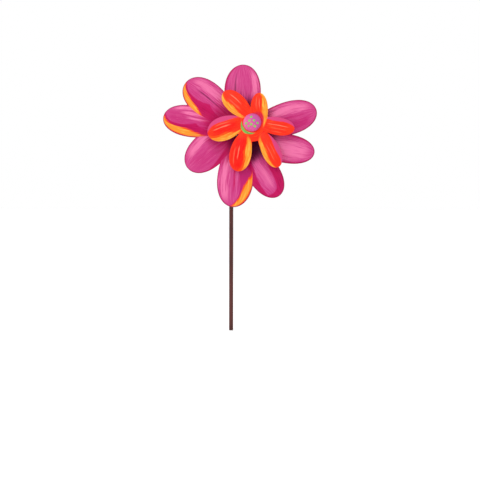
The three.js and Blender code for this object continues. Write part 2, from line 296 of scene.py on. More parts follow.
def pressedSheet(name, flower, finishes):
    x, y = rimPoints(flower)
    radius = np.hypot(x, y)
    sheet, hole = flower["sheet"], flower["holeRadius"]
    edge = 0.3  # the cut edge is rounded this far in
    crowding = 1.35  # above 1 the rings stand closer together towards the rim
    shares = 1 - (1 - np.linspace(0, 1, flower["rings"])) ** crowding
    rings = [hole + (radius - edge - hole) * share for share in shares]
    cutEdge = radius - 0.25 * edge
    front = [(at, sheet) for at in rings] + [(cutEdge, 0.75 * sheet)]
    back = [(cutEdge, 0.25 * sheet)] + [(at, 0) for at in rings[::-1]]
    vertices = []
    for at, lift in front + back:
        placeX, placeY = x / radius * at, y / radius * at
        height = pressedHeight(flower, placeX, placeY) + lift
        vertices.append(np.stack([placeX, placeY, height], axis=1) * mm)
    faces = closedGrid(len(vertices), len(x))
    faceFinish = [0 if i // len(x) < len(front) else 1 for i in range(len(faces))]
    return meshPiece(name, np.concatenate(vertices), faces, finishes, faceFinish)


pinks = {
    "pale": tint(238, 118, 168),
    "rose": tint(217, 90, 148),
    "mid": tint(200, 60, 128),
    "deep": tint(190, 30, 108),
    "crimson": tint(190, 0, 84),
    "wine": tint(160, 0, 74),
    "plum": tint(108, 6, 66),
    "night": tint(66, 0, 44),
}
oranges = {
    "red": tint(243, 12, 6),
    "scarlet": tint(247, 44, 20),
    "orange": tint(250, 78, 12),
    "amber": tint(251, 156, 46),
    "coral": tint(247, 98, 68),
    "pink": tint(212, 66, 124),
    "yellow": tint(255, 196, 84),
    "blush": tint(252, 132, 104),
}
leafGreen = tint(124, 184, 84)
leaf = {  # the green curve round the button: direction of its middle and its span in degrees, the rest in mm
    "middle": -131,
    "halfSpan": 68,
    "halfWidth": 1.6,
    "aside": 0.9,
    "down": 0.9,
    "gap": 1.2,
    "color": leafGreen,
    "dark": tint(84, 140, 60),
    "light": tint(160, 210, 104),
}

# each stroke has its colour, its place on the petal and its strength: an edge stroke's place is [angle round
# the petal from its tip, half its span, width in mm], counter-clockwise, and a long stroke's is [side from -1
# to 1, half width, start, end] along the petal, with its tip at 1
largePaint = {
    "top": [
        ("long", "rose", [0.35, 0.5, -0.4, 0.9], 0.3),
        ("long", "pale", [-0.74, 0.22, -0.5, 0.9], 0.95),
        ("long", "plum", [0.34, 0.06, -0.2, 0.85], 0.7),
        ("edge", "crimson", [62, 66, 2.6], 0.8),
    ],
    "upperRight": [
        ("long", "pale", [0.5, 0.42, -0.4, 0.95], 0.9),
        ("long", "deep", [-0.05, 0.1, -0.6, 0.85], 0.75),
        ("long", "deep", [-0.55, 0.42, -0.8, 0.95], 0.85),
        ("edge", "wine", [118, 64, 2.2], 0.8),
    ],
    "right": [
        ("long", "rose", [0.05, 0.9, -0.6, 0.95], 1),
        ("long", "pale", [-0.1, 0.8, -0.2, 0.95], 0.8),
        ("edge", "crimson", [75, 76, 2.6], 0.85),
        ("edge", "crimson", [-85, 66, 2.4], 0.85),
    ],
    "lowerRight": [
        ("long", "rose", [-0.05, 0.5, -0.3, 0.85], 0.9),
        ("long", "pale", [0.08, 0.16, 0.0, 0.85], 0.5),
        ("edge", "crimson", [44, 82, 10], 0.92),
        ("edge", "crimson", [-98, 76, 13], 0.92),
    ],
    "bottom": [
        ("long", "pale", [-0.58, 0.34, -0.4, 0.95], 0.9),
        ("long", "rose", [0.15, 0.16, -0.6, 0.6], 0.5),
        ("long", "crimson", [0.0, 0.07, -0.3, 0.7], 0.9),
        ("long", "crimson", [0.3, 0.06, -0.5, 0.5], 0.85),
        ("edge", "deep", [78, 90, 17], 1),
        ("edge", "crimson", [128, 52, 10], 0.95),
        ("edge", "orange", [40, 50, 9.5], 1),
    ],
    "lowerLeft": [
        ("long", "pale", [-0.6, 0.34, -0.6, 0.9], 0.9),
        ("long", "deep", [0.3, 0.55, -0.8, 0.95], 0.45),
        ("edge", "crimson", [120, 70, 8.5], 0.95),
    ],
    "left": [
        ("long", "deep", [0.1, 1.0, -0.8, 1.0], 0.6),
        ("long", "pale", [-0.76, 0.15, -0.6, 0.85], 1),
        ("long", "pale", [-0.44, 0.12, -0.5, 0.6], 1),
        ("long", "pale", [-0.14, 0.1, -0.5, 0.4], 0.9),
        ("edge", "crimson", [70, 84, 16], 1),
        ("edge", "orange", [56, 66, 9], 1),
    ],
    "upperLeft": [
        ("long", "pale", [-0.55, 0.36, -0.6, 0.95], 0.8),
        ("long", "plum", [-0.1, 0.06, -0.6, 0.65], 0.8),
        ("long", "deep", [0.2, 0.16, -0.8, 0.8], 0.5),
        ("edge", "crimson", [84, 92, 17], 1),
        ("edge", "orange", [46, 52, 7.4], 1),
    ],
}
smallPaint = {
    "upperLeft": [
        ("long", "blush", [-0.35, 0.07, -0.3, 0.75], 0.9),
        ("long", "coral", [0.15, 0.1, -0.5, 0.6], 0.7),
        ("edge", "orange", [80, 88, 9], 0.9),
        ("edge", "amber", [84, 78, 7], 0.95),
    ],
    "left": [
        ("long", "red", [0.05, 0.5, -0.8, 0.8], 0.85),
        ("long", "blush", [-0.08, 0.07, -0.4, 0.75], 0.9),
        ("long", "coral", [-0.36, 0.08, -0.4, 0.6], 0.8),
        ("edge", "pink", [-80, 78, 7], 1),
        ("edge", "orange", [76, 74, 8.5], 0.9),
        ("edge", "amber", [84, 64, 6.5], 0.9),
    ],
    "bottom": [
        ("long", "red", [-0.1, 0.9, -0.9, 1.0], 1),
        ("long", "coral", [-0.52, 0.09, -0.3, 0.8], 0.8),
        ("long", "blush", [-0.14, 0.07, -0.4, 0.5], 0.8),
        ("edge", "orange", [88, 92, 9.5], 0.9),
        ("edge", "amber", [92, 76, 7], 0.95),
    ],
    "lowerRight": [
        ("long", "coral", [-0.1, 0.09, -0.4, 0.7], 0.8),
        ("long", "coral", [0.3, 0.09, -0.4, 0.5], 0.6),
        ("edge", "orange", [-94, 90, 8], 0.9),
        ("edge", "amber", [-94, 80, 6], 0.95),
        ("edge", "pink", [84, 66, 5], 1),
    ],
    "right": [
        ("long", "blush", [0.05, 0.07, -0.5, 0.8], 0.9),
        ("long", "coral", [-0.35, 0.08, -0.3, 0.7], 0.8),
        ("long", "coral", [-0.68, 0.08, -0.2, 0.5], 0.7),
        ("edge", "pink", [84, 76, 5.6], 1),
    ],
    "top": [
        ("long", "coral", [0.3, 0.1, 0.0, 0.9], 0.8),
        ("long", "blush", [-0.1, 0.07, 0.0, 0.8], 0.7),
        ("edge", "orange", [-82, 86, 9], 0.9),
        ("edge", "amber", [-84, 76, 7], 0.95),
    ],
}

# what lies round the strokes: the colours of a petal's body and of its fine marks, how many mm in from a
# petal's rim its own paint starts, each petal's root colour and where along it that ends, and the painted shade
# between the flowers, in mm
largeCoat = {
    "body": "mid",
    "streak": "rose",
    "shade": "deep",
    "lightHair": "pale",
    "darkHair": "crimson",
    "rim": (0.3, 1.4),
    "bands": True,  # amber and yellow bands along the orange edge strokes
    "roots": {
        "top": ("plum", 0.25), "upperRight": ("plum", 0.0), "right": ("plum", 0.0), "lowerRight": ("plum", 0.1),
        "bottom": ("crimson", 0.0), "lowerLeft": ("crimson", 0.25), "left": ("crimson", 0.1),
        "upperLeft": ("crimson", 0.05),
    },
    "shadow": {"x": 13, "y": -4, "clear": 34, "full": 18, "ragged": 10, "strength": 0.8},
    "roughness": 0.36,
    "bumpDistance": 0.25 * mm,
}
smallCoat = {
    "body": "scarlet",
    "streak": "orange",
    "shade": "red",
    "lightHair": "coral",
    "darkHair": "red",
    "rim": (-0.8, 0.2),
    "bands": False,
    "roots": {**dict.fromkeys(smallFlower["petals"], ("scarlet", -0.45)), "bottom": ("red", -0.6)},
    "shadow": {"x": 5, "y": 4, "clear": -0.5, "full": -4, "ragged": 3, "strength": 0.55},  # from the button's edge
    "roughness": 0.34,
    "bumpDistance": 0.22 * mm,
}
brush = {
    "bristles": (14, 2),  # how fine the bristle marks are across and along a petal
    "hairs": (40, 3),
    "streaks": (0.5, 0.68, 0.6),  # noise where a mark starts, where it is full, and its strength
    "shades": (0.46, 0.32, 0.6),
    "lightHairs": (0.54, 0.66, 0.26),
    "darkHairs": (0.44, 0.33, 0.22),
    "lightInStroke": (0.5, 0.62),
    "darkInStroke": (0.48, 0.36),
    "band": (0.9, 0.86, 0.22),  # shares of the crescent's span, and of its width at the band's two edges
    "edgeRagged": 5,  # mm
    "longRagged": 2.2,  # half widths of the stroke
    "startLength": 0.35,  # over which a long stroke starts and ends, along the petal
    "endLength": 0.3,
}


def petalPlace(flower, petal, x, y):
    along, across, middleWidth = onPetal(flower, petal, x, y)
    halfWidth = middleWidth + along.atLeast(-1).atMost(1) * (middleWidth * flower["taper"])
    side = across / halfWidth
    depth = 1 - along * along - side * side
    fromMiddle = (1 - depth).root()
    steepness = ((along * along) * flower["halfLength"] ** -2 + (side * side) * middleWidth ** -2).root()
    tiny = 0.0001  # keeps the next line finite in a petal's middle
    rim = (1 - fromMiddle) * fromMiddle / (steepness + tiny)  # about how many mm inside the petal's rim
    turn = side.maths("ARCTAN2", side, along) * (180 / pi)
    curved = side / (1 - along * along).atLeast(0.04).root()  # follows the petal's curved sides
    return {"along": along, "rim": rim, "turn": turn, "curved": curved}


def edgeStroke(place, stroke, bristle):
    centre, span, width = stroke
    offCentre = (place["turn"] - centre) * (1 / span)
    ends = 1 - offCentre * offCentre
    inward = ends.atLeast(-1) * width - place["rim"] + (bristle - 0.5) * brush["edgeRagged"]
    return inward.rise(-0.4, 1.1)


def longStroke(place, stroke, bristle):
    side, halfWidth, start, end = stroke
    level = 1 - abs(place["curved"] - side) * (1 / halfWidth) + (bristle - 0.5) * brush["longRagged"]
    starts = place["along"].rise(start, start + brush["startLength"])
    ends = place["along"].rise(end, end - brush["endLength"])
    return level.rise(0.0, 0.8) * (starts * ends)


def paintEdge(wire, own, colors, colorName, place, stroke, strength, bristle, bands):
    mask = edgeStroke(place, stroke, bristle) * strength
    own = wire.paint(own, colors[colorName], mask)
    light, dark = mask * bristle.rise(*brush["lightInStroke"]), mask * bristle.rise(*brush["darkInStroke"])
    if colorName == "amber":
        own = wire.paint(own, colors["yellow"], light * 0.7)
        own = wire.paint(own, colors["orange"], dark * 0.6)
    if colorName == "crimson":
        own = wire.paint(own, colors["wine"], dark * 0.7)
        own = wire.paint(own, colors["deep"], light * 0.35)
    if colorName == "orange" and bands:  # a yellower band between the crescent's two edges
        centre, span, width = stroke
        spanShare, innerShare, outerShare = brush["band"]
        inner = edgeStroke(place, [centre, spanShare * span, innerShare * width], bristle)
        outer = edgeStroke(place, [centre, spanShare * span, outerShare * width], bristle)
        band = inner * (1 - outer)
        own = wire.paint(own, colors["amber"], band * 0.85)
        own = wire.paint(own, colors["yellow"], band * bristle.rise(*brush["lightInStroke"]) * 0.6)
    return own


def brushMarks(wire, place, fineness, seed, detail):  # long thin marks that follow the petal's sides
    across, along = fineness
    return wire.noise(wire.vector(place["curved"] * across, place["along"] * along, seed), 1.0, detail, 0.6)


def marks(noise, look):
    start, full, strength = brush[look]
    return noise.rise(start, full) * strength


def paintPetals(wire, flower, paints, colors, coat, ground, x, y):
    color = ground
    relief = None
    for number, (name, petal) in enumerate(flower["petals"].items()):
        place = petalPlace(flower, petal, x, y)
        bristle = brushMarks(wire, place, brush["bristles"], 3.7 * number, 3.0)
        hair = brushMarks(wire, place, brush["hairs"], 5.1 * number, 2.0)
        own = wire.paint(colors[coat["body"]], colors[coat["streak"]], marks(bristle, "streaks"))
        own = wire.paint(own, colors[coat["shade"]], marks(bristle, "shades"))
        for kind, colorName, stroke, strength in paints[name]:
            if kind == "long":
                own = wire.paint(own, colors[colorName], longStroke(place, stroke, bristle) * strength)
        own = wire.paint(own, colors[coat["lightHair"]], marks(hair, "lightHairs"))
        own = wire.paint(own, colors[coat["darkHair"]], marks(hair, "darkHairs"))
        for kind, colorName, stroke, strength in paints[name]:
            if kind == "edge":
                own = paintEdge(wire, own, colors, colorName, place, stroke, strength, bristle, coat["bands"])
        rootColor, rootEnd = coat["roots"][name]
        root = (place["along"] + (bristle - 0.5) * 0.9).rise(rootEnd, rootEnd - 0.6)
        own = wire.paint(own, colors[rootColor], root * 0.92)
        inside = (place["rim"] + (hair - 0.5) * 1.2).rise(*coat["rim"]) * place["along"].rise(-1.0, -0.6)
        color = wire.paint(color, own, inside)
        raised = (bristle * 0.6 + hair * 0.4) * inside
        relief = raised if relief is None else relief.atLeast(raised)
    return color, relief


def roundStrokes(wire, x, y, radius, fineness):  # brush strokes that run round the flower's middle
    around = wire.vector(x / radius * 2, y / radius * 2, radius * fineness)
    return wire.noise(around, 1.0, 3.0, 0.65)


def shadowMask(shadow, cloud, x, y, outTo=0):  # full strength near the shadow's own middle
    fromX, fromY = x - shadow["x"], y - shadow["y"]
    away = (fromX * fromX + fromY * fromY).root() + (cloud - 0.5) * shadow["ragged"]
    return away.rise(outTo + shadow["clear"], outTo + shadow["full"]) * shadow["strength"]


def endPetalPaint(wire, coat, place, color, relief, cloud):
    grain = wire.noise(place, 2.4, 3.0, 0.6)
    roughness = coat["roughness"] + cloud * 0.14 + relief * 0.08
    height = relief * 0.75 + grain * 0.25
    endFinish(wire, color, roughness, height, bump=0.4, bumpDistance=coat["bumpDistance"], specular=0.12)


def largePetalPaint():
    material, wire = startFinish("largePetalPaint")
    place = placeInMm(wire)
    x, y = alongAxes(place, headAxes[:2])
    radius = (x * x + y * y).root()
    cloud = wire.noise(place, 0.05, 3.0)
    swirl = roundStrokes(wire, x, y, radius, 0.7)
    ground = wire.paint(pinks["crimson"], pinks["wine"], (radius + (swirl - 0.5) * 20).rise(50, 62))
    ground = wire.paint(ground, pinks["wine"], swirl.rise(0.48, 0.34) * 0.6)
    color, relief = paintPetals(wire, largeFlower, largePaint, {**oranges, **pinks}, largeCoat, ground, x, y)
    color = wire.paint(color, pinks["night"], shadowMask(largeCoat["shadow"], cloud, x, y))
    endPetalPaint(wire, largeCoat, place, color, relief, cloud)
    return material


def paintLeaf(wire, color, swirl, x, y, buttonRadius):
    turn = radians(leaf["middle"])
    fromX, fromY = x + leaf["aside"], y + leaf["down"]
    out = fromX * cos(turn) + fromY * sin(turn)
    across = fromY * cos(turn) - fromX * sin(turn)
    radius = (fromX * fromX + fromY * fromY).root()
    offCentre = out.maths("ARCTAN2", across, out) * (180 / pi / leaf["halfSpan"])
    depth = (1 - offCentre * offCentre) * leaf["halfWidth"] - abs(radius - (buttonRadius + leaf["gap"]))
    own = wire.paint(leaf["color"], leaf["dark"], swirl.rise(0.5, 0.36) * 0.8)
    own = wire.paint(own, leaf["light"], swirl.rise(0.52, 0.66) * 0.8)
    return wire.paint(color, own, (depth + (swirl - 0.5) * 1.2).rise(-0.15, 0.3))


def smallPetalPaint(buttonRadius):
    material, wire = startFinish("smallPetalPaint")
    place = placeInMm(wire)
    x, y = alongAxes(place, headAxes[:2])
    radius = (x * x + y * y).root()
    cloud = wire.noise(place, 0.09, 3.0)
    swirl = roundStrokes(wire, x, y, radius, 1.5)
    ground = wire.paint(oranges["scarlet"], oranges["orange"], swirl.rise(0.48, 0.66) * 0.8)
    ground = wire.paint(ground, oranges["red"], swirl.rise(0.46, 0.34) * 0.8)
    color, relief = paintPetals(wire, smallFlower, smallPaint, oranges, smallCoat, ground, x, y)
    color = wire.paint(color, pinks["crimson"], shadowMask(smallCoat["shadow"], cloud, x, y, buttonRadius))
    color = paintLeaf(wire, color, swirl, x, y, buttonRadius)
    endPetalPaint(wire, smallCoat, place, color, relief, cloud)
    return material


def plainCoat(name, color, darker):  # the sprayed coat on the flowers' backs
    material, wire = startFinish(name)
    place = placeInMm(wire)
    cloud = wire.noise(place, 0.06, 4.0)
    grain = wire.noise(place, 1.8, 4.0, 0.65)
    shown = wire.paint(color, darker, cloud.rise(0.35, 0.7) * 0.6 + grain * 0.15)
    endFinish(wire, shown, 0.42 + grain * 0.16, grain, bump=0.3, bumpDistance=0.15 * mm, specular=0.22)
    return material


print("finishes for the flowers set up")


def placeOnHead(piece, x=0.0, y=0.0, z=0.0):  # millimetres in the head's frame
    piece.data.transform(headTurn)
    piece.location = headFrame @ (Vector((x, y, z)) * mm)
    return piece


def finishPiece(piece, body, node):
    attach(piece, body)
    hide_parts(node)


def spanOnHead(node, x=0.0, y=0.0):  # a node's ends along the spindle and its radii about a line along it, in mm
    toHead = headFrame.inverted()
    points = np.array([toHead @ v.co for v in frame["nodes"][node].data.vertices]) / mm
    radii = np.hypot(points[:, 0] - x, points[:, 1] - y)
    return SimpleNamespace(low=points[:, 2].min(), high=points[:, 2].max(), inner=radii.min(), outer=radii.max())


def middleOnHead(node):
    low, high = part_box(node)
    return (headFrame.inverted() @ ((low + high) / 2)) / mm


postMiddle = middleOnHead("post_spacer")
postX, postY = postMiddle.x, postMiddle.y
washerGap = 0.3  # between the front lock washer and the small flower
smallLift = spanOnHead("front_lock_washer").high + washerGap
buttonSpan = spanOnHead("button", postX, postY)

largeFinishes = [largePetalPaint(), plainCoat("largeBackCoat", pinks["deep"], pinks["wine"])]
largePetals = pressedSheet("largeFlowerSheet", largeFlower, largeFinishes)
finishPiece(placeOnHead(largePetals), "flower_head", "large_flower")
smallFinishes = [smallPetalPaint(buttonSpan.outer),
                 plainCoat("smallBackCoat", oranges["scarlet"], oranges["red"])]
smallPetals = pressedSheet("smallFlowerSheet", smallFlower, smallFinishes)
finishPiece(placeOnHead(smallPetals, postX, postY, smallLift), "flower_head", "small_flower")
print("flowers pressed and painted")


def softened(corners, radius):  # a profile with each of its corners rounded off, as [radius, height] in mm
    rounded = []
    for i, corner in enumerate(corners):
        here = Vector(corner)
        before, after = Vector(corners[i - 1]) - here, Vector(corners[(i + 1) % len(corners)]) - here
        onAxis = corner[0] < 0.001
        repeated = before.length * after.length < 1e-9
        straight = repeated or abs(before.normalized().dot(after.normalized())) > 0.96
        if onAxis or straight:
            rounded.append(here)
            continue
        reach = min(radius, 0.45 * before.length, 0.45 * after.length)  # the next corner keeps its own share
        start, end = here + before.normalized() * reach, here + after.normalized() * reach
        for share in (0, 0.25, 0.5, 0.75, 1):
            rounded.append((1 - share) ** 2 * start + 2 * share * (1 - share) * here + share ** 2 * end)
    return rounded


def turnedPiece(name, corners, finish, rounding=0.15, segments=72):
    profile = softened(corners, rounding)
    vertices = []
    for radius, height in profile:
        for i in range(segments):
            angle = 2 * pi * i / segments
            vertices.append(Vector((radius * cos(angle), radius * sin(angle), height)) * mm)
    piece = meshPiece(name, vertices, closedGrid(len(profile), segments), [finish])
    return cleaned(piece)


def cleaned(piece, sharpAngle=38):  # points on the axis become one, and every face looks outwards
    body = bmesh.new()
    body.from_mesh(piece.data)
    bmesh.ops.remove_doubles(body, verts=body.verts, dist=1e-7)
    bmesh.ops.dissolve_degenerate(body, edges=body.edges, dist=1e-8)
    bmesh.ops.recalc_face_normals(body, faces=body.faces)
    body.to_mesh(piece.data)
    body.free()
    piece.data.set_sharp_from_angle(angle=radians(sharpAngle))
    return piece


def ringCorners(inner, outer, low, high):
    return [(inner, low), (outer, low), (outer, high), (inner, high)]


metals = {
    "zincPlate": {
        "color": (0.62, 0.64, 0.66, 1),
        "stain": (0.5, 0.5, 0.47, 1), "stainFrom": (0.4, 0.65),
        "speck": (0.3, 0.28, 0.25, 1), "speckFrom": (0.62, 0.74), "speckStrength": 0.5,
        "cloudScale": 0.35, "grainScale": 5.0,
        "roughness": 0.3, "grainRoughness": 0.12, "metallic": 0.95,
    },
    "blackOxide": {
        "color": (0.035, 0.034, 0.036, 1),
        "stain": (0.08, 0.07, 0.065, 1), "stainFrom": (0.45, 0.7),
        "speck": (0.2, 0.19, 0.18, 1), "speckFrom": (0.62, 0.75), "speckStrength": 0.4,
        "cloudScale": 0.4, "grainScale": 6.0,
        "roughness": 0.42, "grainRoughness": 0.0, "metallic": 0.6,
    },
}


def metalFinish(name):
    look = metals[name]
    material, wire = startFinish(name)
    place = placeInMm(wire)
    cloud = wire.noise(place, look["cloudScale"], 4.0, 0.6)
    grain = wire.noise(place, look["grainScale"], 3.0, 0.7)
    color = wire.paint(look["color"], look["stain"], cloud.rise(*look["stainFrom"]))
    color = wire.paint(color, look["speck"], grain.rise(*look["speckFrom"]) * look["speckStrength"])
    roughness = look["roughness"] + cloud * 0.2 + grain * look["grainRoughness"]
    endFinish(wire, color, roughness, grain, bump=0.35, bumpDistance=0.06 * mm, metallic=look["metallic"])
    return material


def whiteNylon():
    material, wire = startFinish("whiteNylon")
    place = placeInMm(wire)
    cloud = wire.noise(place, 0.5, 3.0)
    grain = wire.noise(place, 4.0, 3.0)
    color = wire.paint((0.78, 0.77, 0.73, 1), (0.68, 0.66, 0.6, 1), cloud.rise(0.4, 0.7))
    endFinish(wire, color, 0.42 + grain * 0.16, grain, bump=0.25, bumpDistance=0.05 * mm)
    return material


zinc, oxide, nylon = metalFinish("zincPlate"), metalFinish("blackOxide"), whiteNylon()


def headPiece(node, corners, finish, x=0.0, y=0.0, rounding=0.15, body="flower_head"):
    # a piece turned about a line along the spindle, in the place of one CAD node
    low = min(height for radius, height in corners)
    raised = [(radius, height - low) for radius, height in corners]
    piece = turnedPiece(node + "Turned", raised, finish, rounding)
    finishPiece(placeOnHead(piece, x, y, low), body, node)


bearing = {  # mm
    "flangeFront": -0.3,
    "flangeThickness": 1.5,
    "neck": 1,  # the slope behind the flange
    "bushFit": 0.3,
    "bushFlange": 1,
    "ringRim": [(0.9, 1.15), (0, 0.9), (0, 0), (1, 0.25)],  # in from the push ring's edge and back from its front
    "ringThroat": 1.2,
    "capBrim": 0.8,
    "capWall": [(1, 1.2), (0.9, 3.2), (0.1, 4.5)],  # out from the cap's bore and forward from its back
    "capRoof": 3.7,
}


def addBearing():
    spool = spanOnHead("hub_spool")
    tube = spanOnHead("front_bush").outer
    flangeFront, neck = bearing["flangeFront"], bearing["neck"]
    flangeBack = flangeFront - bearing["flangeThickness"]
    corners = [(spool.inner, spool.low), (tube, spool.low), (tube, flangeBack - neck),
               (tube + neck, flangeBack), (spool.outer, flangeBack), (spool.outer, flangeFront),
               (tube, flangeFront), (tube, spool.high), (spool.inner, spool.high)]
    headPiece("hub_spool", corners, zinc, rounding=0.25)
    for node, front in (("front_bush", True), ("rear_bush", False)):
        bush = spanOnHead(node)
        sleeve, shoulder = spool.inner - bearing["bushFit"], bush.high - bearing["bushFlange"]
        corners = [(bush.inner, bush.low), (sleeve, bush.low), (sleeve, shoulder),
                   (bush.outer, shoulder), (bush.outer, bush.high), (bush.inner, bush.high)]
        if not front:
            corners = [(radius, bush.low + bush.high - height) for radius, height in corners]
        headPiece(node, corners, nylon)
    for node in ("front_washer", "rear_washer"):
        washer = spanOnHead(node)
        corners = ringCorners(washer.inner, washer.outer, washer.low, washer.high)
        headPiece(node, corners, zinc, body="stake")
    ring = spanOnHead("rear_push_ring")
    corners = [(ring.inner, ring.low)]
    corners += [(ring.outer - inset, ring.high - drop) for inset, drop in bearing["ringRim"]]
    corners += [(ring.inner, ring.high - bearing["ringThroat"])]
    headPiece("rear_push_ring", corners, oxide, body="stake")
    cap, inner = spanOnHead("axle_cap"), spanOnHead("front_washer").inner
    back, roof = cap.low, cap.low + bearing["capRoof"]
    corners = [(inner, back), (cap.outer, back), (cap.outer, back + bearing["capBrim"])]
    corners += [(inner + out, back + up) for out, up in bearing["capWall"]]
    corners += [(0, cap.high), (0, roof), (inner, roof)]
    headPiece("axle_cap", corners, oxide, rounding=0.35, body="stake")


rivet = {"headRadius": 2.2, "shankRadius": 1.35, "headRise": 0.9}


def addRivets():
    head, shank, rise = rivet["headRadius"], rivet["shankRadius"], rivet["headRise"]
    dome = [(head * cos(turn), rise * sin(turn)) for turn in np.radians([15, 30, 45, 60, 75])]
    for number in (1, 2, 3):
        node = f"hub_rivet_{number}"
        middle, span = middleOnHead(node), spanOnHead(node)
        front, back = span.high - rise, span.low + rise
        corners = [(0, span.low)] + [(radius, back - height) for radius, height in dome[::-1]]
        corners += [(head, back), (shank, back), (shank, front), (head, front)]
        corners += [(radius, front + height) for radius, height in dome] + [(0, span.high)]
        headPiece(node, corners, zinc, middle.x, middle.y, rounding=0.1)


post = {
    "shankRadius": 2.0,
    "tipInset": 0.5,
    "tipLength": 0.4,
    "threadPitch": 0.7,
    "threadDepth": 0.3,
    "threadEnd": 0.4,  # no ring starts further forward
    "headHeight": 2.4,
    "headDome": [(1, 1.2), (0.86, 1.9), (0.55, 2.3)],  # share of the head's radius, and height above its seat
}


def addPost():
    screw = spanOnHead("post_screw", postX, postY)
    seat = screw.high - post["headHeight"]
    shank, pitch = post["shankRadius"], post["threadPitch"]
    crest = shank - 0.02  # just inside the plain shank
    corners = [(0, screw.low), (shank - post["tipInset"], screw.low)]
    height = screw.low + post["tipLength"]
    while height < post["threadEnd"]:  # the thread, as rings
        corners += [(shank - post["threadDepth"], height)]
        corners += [(crest, height + share * pitch) for share in (0.3, 0.5)]
        height += pitch
    corners += [(shank, height), (shank, seat), (screw.outer, seat)]
    corners += [(screw.outer * share, seat + rise) for share, rise in post["headDome"]] + [(0, screw.high)]
    headPiece("post_screw", corners, zinc, postX, postY, rounding=0.08)
    spacer = spanOnHead("post_spacer", postX, postY)
    corners = ringCorners(spacer.inner, spacer.outer, spacer.low, spacer.high)
    headPiece("post_spacer", corners, zinc, postX, postY, rounding=0.3)
    for node in ("front_lock_washer", "rear_lock_washer"):
        addLockWasher(node)
    addNut()


lockWasher = {
    "teeth": 12,
    "stepsPerTooth": 8,
    "toothRoot": 0.62,  # share of the way from the bore to the outer edge
    "gapDepth": 0.45,  # mm
    "gapSharpness": 3,
    "bodyThickness": 0.56,  # this and the twist are shares of the washer's whole thickness
    "twist": 0.2,
}


def addLockWasher(node):  # a toothed ring: the teeth stand out of its plane by turns
    span = spanOnHead(node, postX, postY)
    inner, outer = span.inner, span.outer
    teeth, root = lockWasher["teeth"], lockWasher["toothRoot"]
    steps = teeth * lockWasher["stepsPerTooth"]
    thickness = span.high - span.low
    radii = [inner, root * outer + (1 - root) * inner, outer]
    vertices = []
    for lift, order in ((0.5, radii), (-0.5, radii[::-1])):
        for radius in order:
            share = (radius - inner) / (outer - inner)
            for i in range(steps):
                angle = 2 * pi * i / steps
                gap = 0.5 - 0.5 * tanh(lockWasher["gapSharpness"] * cos(teeth * angle))
                reach = radius - lockWasher["gapDepth"] * share ** 2 * gap
                twist = lockWasher["twist"] * share * sin(teeth * angle)
                height = thickness * (0.5 + lockWasher["bodyThickness"] * lift + twist)
                vertices.append(Vector((reach * cos(angle), reach * sin(angle), height)) * mm)
    piece = cleaned(meshPiece(node + "Toothed", vertices, closedGrid(2 * len(radii), steps), [zinc]))
    finishPiece(placeOnHead(piece, postX, postY, span.low), "flower_head", node)


nut = {"chamfer": 0.32, "chamferStart": 0.02, "faceInset": 0.1, "boreChamfer": 0.3, "steps": 96, "sharpAngle": 24}


def addNut():
    span = spanOnHead("post_nut", postX, postY)
    corner, bore = span.outer, span.inner
    flats = corner * cos(pi / 6)
    height = span.high - span.low
    steps, inset = nut["steps"], nut["boreChamfer"]
    face, boreRim = flats - nut["faceInset"], bore + inset
    rings = [(boreRim, 0, False), (face, 0, False), (corner, 0, True), (corner, height, True),
             (face, height, False), (boreRim, height, False), (bore, height - inset, False), (bore, inset, False)]
    vertices = []
    for radius, level, hexagonal in rings:
        for i in range(steps):
            angle = 2 * pi * i / steps
            reach = radius
            rise = level
            if hexagonal:  # the chamfer cuts deepest at the corners
                fromFlat = pi / 6 - abs((angle + pi / 6) % (pi / 3) - pi / 6)
                reach = flats / cos(fromFlat)
                cut = nut["chamferStart"] + nut["chamfer"] * (reach - flats) / (corner - flats)
                rise = level + cut if level < height / 2 else level - cut
            vertices.append(Vector((reach * cos(angle), reach * sin(angle), rise)) * mm)
    piece = cleaned(meshPiece("post_nutHex", vertices, closedGrid(len(rings), steps), [zinc]), nut["sharpAngle"])
    finishPiece(placeOnHead(piece, postX, postY, span.low), "flower_head", "post_nut")


button = {  # sizes in mm
    "wall": 0.9,
    "socketRadius": 4,  # the socket over the screw's head, and the boss round it
    "socketRoof": 3.4,
    "bossRadius": 5,
    "bossFoot": 0.6,
    "undersideRadii": (5, 6, 7, 8, 8.8, 9.3),
    "pink": tint(222, 92, 156),
    "lilac": tint(196, 84, 160),
    # the colour of the painted highlight on the dome's left side
    "light": tint(240, 120, 170),
    "shade": tint(184, 64, 132),
    "dotLight": tint(150, 204, 96),
    "dots": [  # middle and radius of each green dot, all against the button's radius
        (-0.02, 0.51, 0.13), (-0.20, 0.08, 0.14), (0.32, 0.11, 0.14), (-0.57, -0.20, 0.13),
        (0.69, -0.14, 0.12), (0.03, -0.32, 0.14), (-0.27, -0.51, 0.1), (0.41, -0.51, 0.13),
    ],
}


